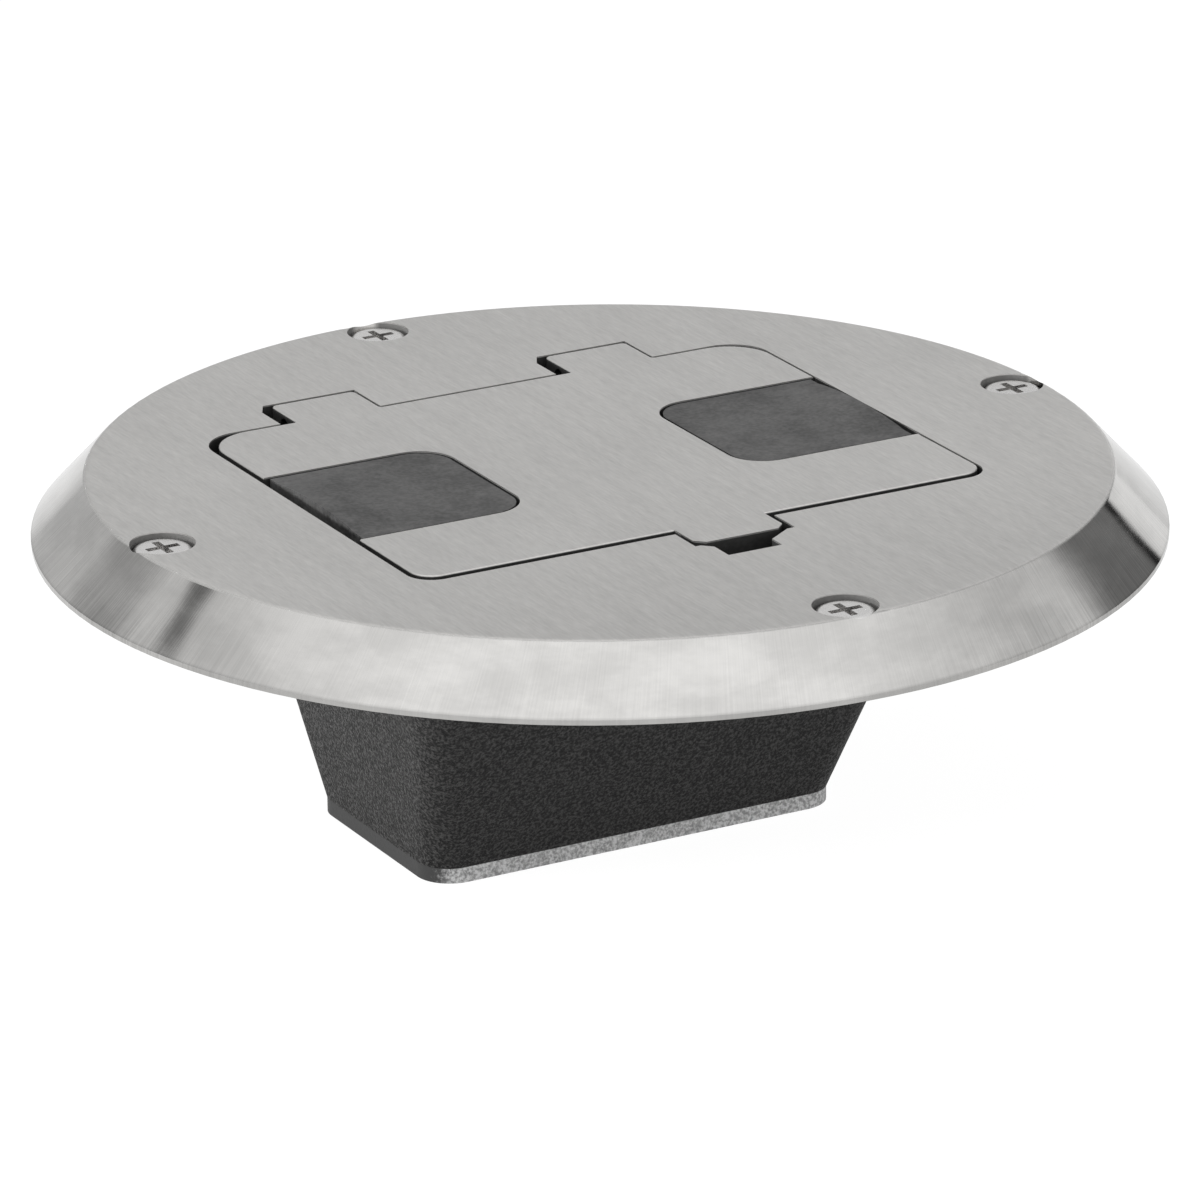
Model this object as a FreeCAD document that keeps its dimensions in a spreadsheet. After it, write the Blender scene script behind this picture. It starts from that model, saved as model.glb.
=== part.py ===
import FreeCAD, Part
import os
import re
import Sketcher
from FreeCAD import Placement, Rotation, Vector

# Recessed floor socket box: a round cast cover with a hinged lid and two cord flaps, over a
# tapered cast housing that holds a duplex receptacle. Origin: centre of the cover's underside
# on the floor plane. +X runs along the lid, +Y points to its hinge, +Z is up. Millimetres.

os.makedirs("parts", exist_ok=True)
doc = FreeCAD.newDocument("floor_socket_box")

# ---------------------------------------------------------------- driving dimensions
SIZES = {
    "cover": {
        "cover_radius": 92, "cover_height": 10.4, "flat_radius": 83, "edge_land": 0.8,
        "crease_radius": 1.2, "hollow_radius": 79.2, "plate_thick": 4.4, "curb_wall": 5.5,
        "groove_outer_radius": 90, "groove_width": 6.5, "groove_depth": 1.6,
        "gasket_proud": 0.6, "gasket_play": 0.2, "boss_radius": 6.5, "rib_width": 5,
    },
    "lid_recess": {
        "recess_half": 51.9, "recess_front": 36.9, "recess_back": 42.8, "seat_depth": 5.2,
        "recess_front_radius": 4.5, "recess_back_radius": 7, "opening_radius": 4,
        "notch_half": 4.8, "notch_reach": 49.5, "notch_offset": 0.6, "notch_depth": 7.4,
        "notch_under": 3.4, "shoulder_wide": 4.5, "shoulder_deep": 3, "shoulder_narrow": 1.6,
        "seal_margin": 0.5, "ledge_side": 4.5, "ledge_front": 7.1, "ledge_back": 7.2,
    },
    "lid": {
        "lid_thick": 4.5, "lid_left_gap": 1.25, "lid_right_gap": 0.25, "lid_front_gap": 1.8,
        "lid_back_gap": 0.4, "lid_front_radius": 3.8, "lid_back_radius": 8, "lid_rim": 5,
        "lid_web": 1.4, "lid_rib": 3, "tab_half": 8.1, "tab_reach": 42.5, "tab_offset": 2.3,
        "tab_gap": 0.9, "tab_corner": 1.6,
    },
    "hinge": {
        "ear_inner": 18, "ear_outer": 33.4, "ear_reach": 52, "ear_corner": 1,
        "ear_root": 0.6, "ear_gap": 0.25, "ear_back_gap": 0.5, "ear_slot": 2.8,
        "ear_slot_tip": 1.2, "ear_slot_run": 2.5, "hinge_drop": 2.3, "hinge_inset": 5,
        "hinge_pin_radius": 1.5, "hinge_play": 0.05, "hinge_pin_grip": 2.6,
        "hinge_pin_sink": 1.2, "pocket_floor": 2.4, "ear_tail_radius": 0.3,
        "hinge_relief": 5.05,
    },
    "flap": {
        "exit_inner": 19.5, "exit_half": 17, "exit_centre": 2.9, "exit_radius": 6.5,
        "exit_ledge": 2.6, "flap_drop": 0.15, "flap_thick": 2.2, "flap_gap": 0.6,
        "flap_crown": 0.9, "crown_half": 14, "crown_run": 16, "heel": 6.6, "barrel_radius": 2,
        "barrel_end_gap": 0.4, "ledge_clear": 0.7, "flap_end_gap": 0.9,
        "flap_pin_radius": 1, "flap_play": 0.05, "flap_pin_grip": 3,
    },
    "housing": {
        "housing_depth": 52, "foot_thick": 2.6, "foot_half": 37.7, "foot_front": 12.6,
        "foot_back": 30.2, "end_ridge": 1.6, "housing_wall": 2.8, "housing_corner": 6,
        "lug_radius": 4.4, "lug_height": 4.6,
        "ear_tab_out": 8.4, "ear_tab_half": 5, "ear_tab_thick": 3.5,
        "ear_tab_front": 20, "ear_tab_back": 27, "foot_lug_radius": 3.6,
        "foot_lug_height": 4.4, "foot_screw_inset": 5.2, "entry_radius": 11.1, "entry_y": 9,
    },
    "device": {
        "plate_height": 26, "plate_sheet": 1.6, "plate_gap": 0.6, "plate_corner": 3.5,
        "lug_inset": 3.9, "socket_y": 9.5, "socket_pitch": 38.9, "face_radius": 17.4,
        "face_flat": 14.3, "face_proud": 2, "face_gap": 0.4, "strap_thick": 1,
        "strap_half_width": 11.5, "strap_overhang": 3, "strap_play": 0.1, "strap_ear_half": 5,
        "core_half": 10.9, "core_width": 8.7, "core_shift": 1, "core_gap": 0.4,
        "slab_thick": 3, "slab_half_width": 16, "body_end_gap": 1.9,
        "body_half_width": 14.5, "body_depth": 15, "body_corner": 3, "blade_pitch": 12.7,
        "blade_shift": 4, "pin_shift": 7.9, "blade_slot": 2.2, "live_slot": 7.4,
        "neutral_slot": 9, "pin_slot": 5.2, "leaf": 0.8, "leaf_gap": 2.4, "contact_len": 9,
        "contact_play": 0.3, "contact_depth": 11.5, "terminal_x": 10.5, "terminal_half": 3.5,
        "terminal_recess": 2.5, "clip_len": 6, "clip_gap": 5, "ground_depth": 12.6,
        "terminal_drop": 6.5,
    },
    "fasteners": {
        "cover_screw_circle": 78.2, "cover_screw_radius": 2.4, "cover_screw_neck": 2,
        "cover_screw_head": 4.85, "cover_head_height": 3.3, "cover_screw_length": 10.1,
        "counterbore_radius": 5.25, "counterbore_depth": 4, "thread_play": 0.05,
        "screw_hole_play": 0.25, "driver_slot": 0.13,
        "driver_reach": 0.58, "driver_depth": 0.55, "small_screw_radius": 1.7,
        "small_head_radius": 3.2, "small_head_height": 2.2, "ear_screw_length": 7.8,
        "plate_screw_length": 5.5, "foot_screw_length": 6.4, "centre_screw_length": 6,
        "terminal_head": 3.7, "terminal_head_height": 2.2, "terminal_shank": 1.9,
        "terminal_length": 3, "head_round": 0.32, "case_screw_radius": 1.5, "case_screw_y": 11.6,
        "case_screw_length": 17.4, "bond_x": 26, "bond_y": 18, "bond_length": 2.6,
    },
}

sheet = doc.addObject("Spreadsheet::Sheet", "Sizes")
row = 1
for group, entries in SIZES.items():
    sheet.set(f"A{row}", group)
    row += 1
    for word, value in entries.items():
        sheet.set(f"A{row}", word)
        sheet.set(f"B{row}", str(value))
        sheet.setAlias(f"B{row}", word)
        row += 1
doc.recompute()

# Sizes that follow from the driving ones, as formulas in the sheet's words.
DERIVED = {
    "seat_level": "cover_height - seat_depth",
    "lid_top": "cover_height",
    "groove_inner_radius": "groove_outer_radius - groove_width",
    "lid_bottom": "lid_top - lid_thick",
    "lid_left": "recess_half - lid_left_gap",
    "lid_right": "recess_half - lid_right_gap",
    "lid_front": "recess_front - lid_front_gap",
    "lid_back": "recess_back - lid_back_gap",
    "hinge_y": "ear_reach - hinge_inset",
    "hinge_z": "lid_top - hinge_drop",
    "flap_top": "lid_top - flap_drop",
    "flap_bottom": "flap_top - flap_thick",
    "flap_inner": "exit_inner + flap_gap",
    "flap_axis_x": "flap_inner + heel",
    "flap_axis_z": "lid_bottom + barrel_radius",
    "left_flap_end": "lid_left - flap_end_gap",
    "right_flap_end": "lid_right - flap_end_gap",
    "flap_half": "exit_half - flap_gap",
    "exit_low_half": "exit_half - exit_ledge",
    "barrel_half": "exit_low_half - barrel_end_gap",
    "pin_half": "exit_half + flap_pin_grip",
    "wall_depth": "housing_depth - foot_thick",
    "ledge_half": "recess_half - ledge_side",
    "top_half": "ledge_half - end_ridge + housing_wall",
    "top_front": "recess_front - ledge_front + housing_wall",
    "top_back": "recess_back - ledge_back + housing_wall",
    "ear_tab_reach": "top_half + ear_tab_out",
    "ear_tab_x": "top_half + ear_tab_out / 2",
    "end_draft": "(top_half - foot_half) / wall_depth",
    "front_draft": "(top_front - foot_front) / wall_depth",
    "back_draft": "(top_back - foot_back) / wall_depth",
    "inner_half": "top_half - housing_wall",
    "inner_front": "top_front - housing_wall",
    "inner_back": "top_back - housing_wall",
    "top_ridge_y": "(top_back - top_front) / 2",
    "foot_ridge_y": "(foot_back - foot_front) / 2",
    "plate_level": "housing_depth - plate_height",
    "plate_half": "inner_half - end_draft * plate_level - plate_gap",
    "plate_front": "inner_front - front_draft * plate_level - plate_gap",
    "plate_back": "inner_back - back_draft * plate_level - plate_gap",
    "lug_x": "plate_half + plate_gap - lug_inset",
    "lug_front": "plate_front + plate_gap - lug_inset",
    "lug_back": "plate_back + plate_gap - lug_inset",
    "plate_top": "plate_sheet - plate_level",
    "face_top": "plate_top + face_proud",
    "strap_bottom": "0 - plate_level - strap_thick",
    "slab_bottom": "strap_bottom - slab_thick",
    "body_bottom": "slab_bottom - body_depth",
    "outlet_x": "socket_pitch / 2",
    "inner_leaf": "blade_pitch / 2 - leaf_gap / 2 - leaf",
    "bus_in": "blade_pitch / 2 + leaf_gap / 2",
    "bus_out": "bus_in + leaf",
    "recess_y": "body_half_width - terminal_recess",
    "contact_bottom": "slab_bottom - contact_depth",
    "ground_bottom": "slab_bottom - ground_depth",
    "terminal_z": "slab_bottom - terminal_drop",
    "body_half": "foot_half - housing_wall - body_end_gap",
    "strap_end": "body_half + strap_play + strap_thick",
    "strap_reach": "body_half + strap_overhang",
    "clip_out": "clip_gap / 2 + leaf",
    "clip_end": "outlet_x - pin_shift + clip_len / 2",
    "foot_screw_x": "foot_half - foot_screw_inset",
    "foot_screw_front": "foot_front - foot_screw_inset",
    "foot_screw_back": "foot_back - foot_screw_inset",
}

SIDES = (("left", -1), ("right", 1))
EARS = (("0 - ear_outer", "0 - ear_inner"), ("ear_inner", "ear_outer"))


def both_sides(half, *rows):
    """Spots at the same distance left and right of the middle, in the given rows."""
    return [(f"{sign} * {half}", up) for _, sign in SIDES for up in rows]


EAR_SPOTS = both_sides("ear_tab_x", "0 - ear_tab_front", "ear_tab_back")
LUG_SPOTS = both_sides("lug_x", "0 - lug_front", "lug_back")
FOOT_SPOTS = both_sides("foot_screw_x", "0 - foot_screw_front", "foot_screw_back")


def sized(formula):
    """A formula in the sheet's words, as an expression that an object can hold."""
    def word(match):
        name = match.group(0)
        return f"({sized(DERIVED[name])})" if name in DERIVED else f"Sizes.{name}"
    return re.sub(r"[a-z]\w*", word, str(formula))


def value(formula):
    """The number that a formula in the sheet's words gives."""
    return float(sheet.evalExpression(sized(formula)))


# ---------------------------------------------------------------- sketches and features
def new_body(label):
    body = doc.addObject("PartDesign::Body", label)
    body.Label = label
    body.AllowCompound = True
    return body


def sketch_on(body, plane, name, level="0"):
    """A sketch on one of the body's own planes, moved along the plane's normal to a level."""
    sketch = body.newObject("Sketcher::SketchObject", f"{body.Label}_{name}")
    origin = [part for part in body.Origin.OriginFeatures if part.Role == plane][0]
    sketch.AttachmentSupport = [(origin, "")]
    sketch.MapMode = "FlatFace"
    sketch.setExpression(".AttachmentOffset.Base.z", sized(level))
    return sketch


def place(sketch, geometry, point, across, up):
    """Tie a point of the geometry to the sketch's origin by two formulas."""
    for kind, formula in (("DistanceX", across), ("DistanceY", up)):
        number = sketch.addConstraint(
            Sketcher.Constraint(kind, -1, 1, geometry, point, value(formula)))
        sketch.setExpression(f"Constraints[{number}]", sized(formula))


def outline(sketch, corners):
    """A closed outline of straight lines through corners given as pairs of formulas."""
    points = [Vector(value(across), value(up), 0) for across, up in corners]
    first = sketch.GeometryCount
    count = len(points)
    for i in range(count):
        sketch.addGeometry(Part.LineSegment(points[i], points[(i + 1) % count]))
    for i in range(count):
        sketch.addConstraint(
            Sketcher.Constraint("Coincident", first + i, 2, first + (i + 1) % count, 1))
    for i, (across, up) in enumerate(corners):
        place(sketch, first + i, 1, across, up)


def rectangle(sketch, left, right, low, high):
    outline(sketch, [(left, low), (right, low), (right, high), (left, high)])


def circle(sketch, across, up, radius):
    number = sketch.addGeometry(
        Part.Circle(Vector(value(across), value(up), 0), Vector(0, 0, 1), value(radius)))
    place(sketch, number, 3, across, up)
    size = sketch.addConstraint(Sketcher.Constraint("Radius", number, value(radius)))
    sketch.setExpression(f"Constraints[{size}]", sized(radius))


def cross(sketch, across, up, reach, half):
    """The plus-shaped outline of a cross recess."""
    far, near = f"({reach})", f"({half})"
    steps = [(far, near), (near, near), (near, far)]
    steps += [(f"-1 * {near}", far), (f"-1 * {near}", near), (f"-1 * {far}", near)]
    steps += [(f"-1 * {a}", f"-1 * {b}") for a, b in [(far, near), (near, near), (near, far)]]
    steps += [(near, f"-1 * {far}"), (near, f"-1 * {near}"), (far, f"-1 * {near}")]
    outline(sketch, [(f"{across} + {a}", f"{up} + {b}") for a, b in steps])


def pad(body, sketch, length, reverse=False, taper=0):
    feature = body.newObject("PartDesign::Pad", sketch.Label + "_pad")
    feature.Profile = sketch
    feature.setExpression("Length", sized(length))
    feature.Reversed = reverse
    feature.TaperAngle = taper
    doc.recompute()
    return feature


def pocket(body, sketch, length=None, reverse=False):
    """Cut down from the sketch, or right through the body where no length is given."""
    before = body.Shape.Volume
    feature = body.newObject("PartDesign::Pocket", sketch.Label + "_pocket")
    feature.Profile = sketch
    if length is None:
        feature.Type = "ThroughAll"
        feature.Midplane = True
    else:
        feature.setExpression("Length", sized(length))
        feature.Reversed = reverse
    doc.recompute()
    if body.Shape.Volume >= before - 1e-6:
        raise RuntimeError(f"{sketch.Label} cuts nothing")
    return feature


def revolve(body, sketch, axis="V_Axis"):
    feature = body.newObject("PartDesign::Revolution", sketch.Label + "_turned")
    feature.Profile = sketch
    feature.ReferenceAxis = (sketch, [axis])
    feature.Angle = 360
    doc.recompute()
    return feature


def around(body, feature, count):
    """Repeat a feature about the body's Z axis."""
    pattern = body.newObject("PartDesign::PolarPattern", feature.Label + "_pattern")
    pattern.Originals = [feature]
    axis = [part for part in body.Origin.OriginFeatures if part.Role == "Z_Axis"][0]
    pattern.Axis = (axis, [""])
    pattern.Angle = 360
    pattern.Occurrences = count
    body.Tip = pattern
    doc.recompute()
    return pattern


def soften(body, radius, wanted, kind="Fillet"):
    """Round, or chamfer, the edges of the body for which wanted(edge) is true."""
    base = body.Tip
    names = [f"Edge{i + 1}" for i, edge in enumerate(base.Shape.Edges) if wanted(edge)]
    if not names:
        raise RuntimeError(f"{body.Label}: no edge to soften")
    feature = body.newObject(f"PartDesign::{kind}", f"{body.Label}_{kind.lower()}")
    feature.Base = (base, names)
    feature.setExpression("Radius" if kind == "Fillet" else "Size", sized(radius))
    doc.recompute()
    return feature


def upright(edge, tilt=0.02):
    """True for a straight edge that runs along Z, give or take a draft."""
    if edge.Curve.TypeId != "Part::GeomLine":
        return False
    run = edge.Vertexes[1].Point - edge.Vertexes[0].Point
    return abs(run.z) >= (1 - tilt) * run.Length


def at_corner(edge, spots, reach=0.3):
    """True for an edge whose middle lies over one of the spots, seen from above."""
    middle = edge.valueAt((edge.FirstParameter + edge.LastParameter) / 2)
    return any(abs(middle.x - x) < reach and abs(middle.y - y) < reach for x, y in spots)


def corner_spots(right, front, back, left=None):
    """Where the four corners of a box outline lie: how far it reaches each way."""
    return [(across, value(end)) for across in (value(right), -value(left or right))
            for end in (f"0 - ({front})", back)]


# ---------------------------------------------------------------- the cover
def cavity_outline(sketch, half, front, back, ridge_y, ridge):
    """The housing's plan outline: a box whose ends have a shallow ridge at mid length."""
    low, ends = f"0 - ({front})", f"({half})"
    outline(sketch, [
        (f"0 - {ends}", low), (ends, low), (f"{ends} + {ridge}", ridge_y), (ends, back),
        (f"0 - {ends}", back), (f"0 - {ends} - {ridge}", ridge_y)])


def cover_flange():
    body = new_body("cover_flange")
    disc = sketch_on(body, "XZ_Plane", "disc")
    outline(disc, [("0", "0"), ("cover_radius", "0"), ("cover_radius", "edge_land"),
                   ("flat_radius", "cover_height"), ("0", "cover_height")])
    revolve(body, disc)
    crease = value("flat_radius")
    soften(body, "crease_radius",
           lambda edge: edge.Curve.TypeId == "Part::GeomCircle"
           and abs(edge.Curve.Radius - crease) < 0.01)

    hollow = sketch_on(body, "XY_Plane", "hollow")
    circle(hollow, "0", "0", "hollow_radius")
    side, front = "recess_half + curb_wall", "0 - recess_front - curb_wall"
    back, nose = "ear_reach + curb_wall", "0 - notch_reach - curb_wall"
    bay, bevel = "notch_half + shoulder_wide + curb_wall", "2 * curb_wall"
    right = [(bay, nose), (bay, front), (side, front), (side, f"{back} - {bevel}"),
             (f"{side} - {bevel}", back)]
    left = [(f"0 - ({across})", up) for across, up in reversed(right)]
    outline(hollow, right + left)
    pocket(body, hollow, "cover_height - plate_thick", reverse=True)

    boss = sketch_on(body, "XY_Plane", "boss")
    circle(boss, "cover_screw_circle", "0", "boss_radius")
    bosses = pad(body, boss, "cover_height - plate_thick / 2")
    around(body, bosses, 4)
    rib = sketch_on(body, "XY_Plane", "rib")
    rectangle(rib, "recess_half + curb_wall / 2", "cover_screw_circle", "0 - rib_width / 2",
              "rib_width / 2")
    ribs = pad(body, rib, "cover_height - plate_thick / 2")
    around(body, ribs, 4)
    groove = sketch_on(body, "XY_Plane", "groove")
    circle(groove, "0", "0", "groove_inner_radius")
    circle(groove, "0", "0", "groove_outer_radius")
    pocket(body, groove, "groove_depth", reverse=True)

    recess = sketch_on(body, "XY_Plane", "recess", "cover_height")
    rectangle(recess, "0 - recess_half", "recess_half", "0 - recess_front", "recess_back")
    pocket(body, recess, "seat_depth")
    spots = corner_spots("recess_half", "recess_front", "recess_back")
    soften(body, "recess_front_radius",
           lambda edge: upright(edge) and at_corner(edge, [s for s in spots if s[1] < 0]))
    soften(body, "recess_back_radius",
           lambda edge: upright(edge) and at_corner(edge, [s for s in spots if s[1] > 0]))
    opening = sketch_on(body, "XY_Plane", "opening")
    cavity_outline(opening, "inner_half", "inner_front", "inner_back", "top_ridge_y",
                   "end_ridge")
    pocket(body, opening, "cover_height", reverse=True)
    spots = corner_spots("inner_half", "inner_front", "inner_back")
    soften(body, "opening_radius", lambda edge: upright(edge) and at_corner(edge, spots))

    tab = sketch_on(body, "XY_Plane", "tab_recess", "cover_height")
    rectangle(tab, "tab_offset - tab_half - tab_gap", "tab_offset + tab_half + tab_gap",
              "0 - tab_reach - tab_gap", "0 - recess_front")
    pocket(body, tab, "seat_depth")
    notch = sketch_on(body, "XY_Plane", "notch", "cover_height")
    near, far = "0 - tab_reach - tab_gap", "0 - notch_reach"
    low, high = "notch_offset - notch_half", "notch_offset + notch_half"
    under = "notch_under - tab_reach"
    outline(notch, [
        (low, under), (f"{low} - shoulder_narrow", near), (low, f"{near} - shoulder_narrow"),
        (low, far), (high, far), (high, f"{near} - shoulder_deep"),
        (f"{high} + shoulder_wide", near), (high, under)])
    pocket(body, notch, "notch_depth")

    wells = sketch_on(body, "XY_Plane", "hinge_wells", "cover_height")
    for low, high in EARS:
        left, right, back = f"{low} - ear_slot", f"{high} + ear_gap", "ear_reach + ear_back_gap"
        outline(wells, [(left, "recess_back"), (right, "recess_back"), (right, back),
                        (f"{low} - ear_slot_tip", back), (left, "hinge_y + ear_slot_run")])
    pocket(body, wells, "cover_height - pocket_floor")
    for index, (low, high) in enumerate(EARS):
        bearing = sketch_on(body, "YZ_Plane", f"bearing_{index + 1}", f"{high} + ear_gap")
        circle(bearing, "hinge_y", "hinge_z", "hinge_pin_radius + hinge_play")
        pocket(body, bearing, "hinge_pin_grip + hinge_play", reverse=True)

    counterbore = sketch_on(body, "XY_Plane", "counterbore", "cover_height")
    circle(counterbore, "cover_screw_circle", "0", "counterbore_radius")
    around(body, pocket(body, counterbore, "counterbore_depth"), 4)
    hole = sketch_on(body, "XY_Plane", "screw_hole", "cover_height")
    circle(hole, "cover_screw_circle", "0", "cover_screw_radius + screw_hole_play")
    around(body, pocket(body, hole, "cover_height"), 4)
    threads = sketch_on(body, "XY_Plane", "housing_threads")
    for across, up in EAR_SPOTS:
        circle(threads, across, up, "small_screw_radius")
    pocket(body, threads, "ear_screw_length - ear_tab_thick + thread_play", reverse=True)


def floor_gasket():
    body = new_body("floor_gasket")
    ring = sketch_on(body, "XY_Plane", "ring", "0 - gasket_proud")
    circle(ring, "0", "0", "groove_inner_radius + gasket_play")
    circle(ring, "0", "0", "groove_outer_radius - gasket_play")
    pad(body, ring, "gasket_proud + groove_depth")


def lid_seal():
    body = new_body("lid_seal")
    ring = sketch_on(body, "XY_Plane", "ring", "seat_level")
    rectangle(ring, "seal_margin - recess_half", "recess_half - seal_margin",
              "seal_margin - recess_front", "recess_back - seal_margin")
    pad(body, ring, "lid_bottom - seat_level")
    outer = corner_spots("recess_half - seal_margin", "recess_front - seal_margin",
                         "recess_back - seal_margin")
    soften(body, "recess_back_radius", lambda edge: upright(edge) and at_corner(edge, outer))
    hole = sketch_on(body, "XY_Plane", "hole", "seat_level")
    rectangle(hole, "0 - ledge_half - seal_margin", "ledge_half + seal_margin",
              "0 - inner_front - seal_margin", "inner_back + seal_margin")
    pocket(body, hole, "lid_bottom - seat_level", reverse=True)
    inner = corner_spots("ledge_half + seal_margin", "inner_front + seal_margin",
                         "inner_back + seal_margin")
    soften(body, "opening_radius", lambda edge: upright(edge) and at_corner(edge, inner))


# ---------------------------------------------------------------- the lid and its flaps
def cover_lid():
    body = new_body("cover_lid")
    leaf = sketch_on(body, "XY_Plane", "leaf", "lid_bottom")
    rectangle(leaf, "0 - lid_left", "lid_right", "0 - lid_front", "lid_back")
    pad(body, leaf, "lid_thick")
    spots = corner_spots("lid_right", "lid_front", "lid_back", "lid_left")
    soften(body, "lid_front_radius",
           lambda edge: upright(edge) and at_corner(edge, [s for s in spots if s[1] < 0]))
    soften(body, "lid_back_radius",
           lambda edge: upright(edge) and at_corner(edge, [s for s in spots if s[1] > 0]))
    tab = sketch_on(body, "XY_Plane", "finger_tab", "lid_bottom")
    rectangle(tab, "tab_offset - tab_half", "tab_offset + tab_half", "0 - tab_reach",
              "lid_rim - lid_front")
    pad(body, tab, "lid_thick")
    ends = [(value("tab_offset") + s * value("tab_half"), -value("tab_reach")) for s in (-1, 1)]
    soften(body, "tab_corner", lambda edge: upright(edge) and at_corner(edge, ends), "Chamfer")

    ears = sketch_on(body, "XY_Plane", "hinge_ears", "lid_bottom")
    for low, high in EARS:
        rectangle(ears, low, high, "lid_back - lid_rim", "ear_reach")
    pad(body, ears, "lid_thick")
    ends = [(value(across), value("ear_reach")) for ear in EARS for across in ear]
    soften(body, "ear_corner", lambda edge: upright(edge) and at_corner(edge, ends))
    roots = [(value(across), value("lid_back")) for ear in EARS for across in ear]
    soften(body, "ear_root", lambda edge: upright(edge) and at_corner(edge, roots))
    tail = value("ear_reach")
    soften(body, "ear_tail_radius",
           lambda edge: abs(edge.valueAt(edge.FirstParameter).y - tail) < 0.01
           and abs(edge.valueAt(edge.LastParameter).y - tail) < 0.01 and not upright(edge))
    spans = [("0 - lid_left", "0 - ear_outer"), ("0 - ear_inner", "ear_inner"),
             ("ear_outer", "lid_right")]
    for index, (start, end) in enumerate(spans):
        relief = sketch_on(body, "YZ_Plane", f"hinge_relief_{index + 1}", start)
        circle(relief, "hinge_y", "hinge_z", "hinge_relief")
        pocket(body, relief, f"({end}) - ({start})", reverse=True)
    bore = sketch_on(body, "YZ_Plane", "pin_bore", "0 - lid_right")
    circle(bore, "hinge_y", "hinge_z", "hinge_pin_radius")
    pocket(body, bore, "2 * lid_right", reverse=True)

    for side, sign in SIDES:
        seat = sketch_on(body, "XY_Plane", f"{side}_seat", "lid_top")
        rectangle(seat, f"{sign} * exit_inner", f"{sign} * (lid_right + lid_rim)",
                  "exit_centre - exit_half", "exit_centre + exit_half")
        pocket(body, seat, "flap_drop + flap_thick")
        well = sketch_on(body, "XY_Plane", f"{side}_well", "lid_top")
        rectangle(well, f"{sign} * exit_inner", f"{sign} * (flap_axis_x + ledge_clear)",
                  "exit_centre - exit_half", "exit_centre + exit_half")
        pocket(body, well, "lid_thick")
        corners = [(sign * value("exit_inner"), value("exit_centre") + s * value("exit_half"))
                   for s in (-1, 1)]
        soften(body, "exit_radius", lambda edge: upright(edge) and at_corner(edge, corners))
        way = sketch_on(body, "XY_Plane", f"{side}_way", "lid_top")
        rectangle(way, f"{sign} * flap_axis_x", f"{sign} * (lid_right + lid_rim)",
                  "exit_centre - exit_low_half", "exit_centre + exit_low_half")
        pocket(body, way, "lid_thick")
        cradle = sketch_on(body, "XZ_Plane", f"{side}_cradle", "0 - exit_centre - pin_half")
        circle(cradle, f"{sign} * flap_axis_x", "flap_axis_z", "flap_pin_radius")
        pocket(body, cradle, "2 * pin_half", reverse=True)
        slot = sketch_on(body, "XY_Plane", f"{side}_pin_slot", "lid_bottom")
        rectangle(slot, f"{sign} * flap_axis_x - flap_pin_radius",
                  f"{sign} * flap_axis_x + flap_pin_radius", "exit_centre - pin_half",
                  "exit_centre + pin_half")
        pocket(body, slot, "flap_axis_z - lid_bottom", reverse=True)

    webs = sketch_on(body, "XY_Plane", "webs", "lid_bottom")
    for side, sign in SIDES:
        rectangle(webs, f"{sign} * lid_rib / 2", f"{sign} * (exit_inner - lid_rim)",
                  "lid_rim - lid_front", "lid_back - lid_rim")
    pocket(body, webs, "lid_web", reverse=True)


def round_bar(label, plane, level, across, up, radius, length):
    """A plain pin along the normal of the plane, its ends lightly chamfered."""
    body = new_body(label)
    end = sketch_on(body, plane, "end", level)
    circle(end, across, up, radius)
    pad(body, end, length)
    soften(body, f"({radius}) / 5", lambda edge: edge.isClosed(), "Chamfer")


def hinge_pins():
    for (low, high), side in zip(EARS, ("left", "right")):
        round_bar(f"{side}_hinge_pin", "YZ_Plane", f"{low} + hinge_pin_sink", "hinge_y",
                  "hinge_z", "hinge_pin_radius",
                  f"({high}) - ({low}) - hinge_pin_sink + ear_gap + hinge_pin_grip")


def flap_pins():
    for side, sign in SIDES:
        round_bar(f"{side}_flap_pin", "XZ_Plane", "0 - exit_centre - pin_half",
                  f"{sign} * flap_axis_x", "flap_axis_z", "flap_pin_radius", "2 * pin_half")


def crown_section(body, name, level, half, rise):
    """A shallow arc over a chord on the flap's upper face, across the flap."""
    sketch = sketch_on(body, "YZ_Plane", name, level)
    chord, bulge = value(half), value(rise)
    radius = (chord ** 2 + bulge ** 2) / (2 * bulge)
    middle, top = value("exit_centre"), value("flap_top")
    start, end = Vector(middle - chord, top, 0), Vector(middle + chord, top, 0)
    line = sketch.addGeometry(Part.LineSegment(start, end))
    arc = sketch.addGeometry(Part.Arc(end, Vector(middle, top + bulge, 0), start))
    sketch.addConstraint(Sketcher.Constraint("Coincident", line, 2, arc, 1))
    sketch.addConstraint(Sketcher.Constraint("Coincident", line, 1, arc, 2))
    place(sketch, line, 1, f"exit_centre - ({half})", "flap_top")
    place(sketch, line, 2, f"exit_centre + ({half})", "flap_top")
    size = sketch.addConstraint(Sketcher.Constraint("Radius", arc, radius))
    sketch.setExpression(f"Constraints[{size}]",
                         sized(f"(({half}) * ({half}) + ({rise}) * ({rise})) / (2 * ({rise}))"))
    return sketch


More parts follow.
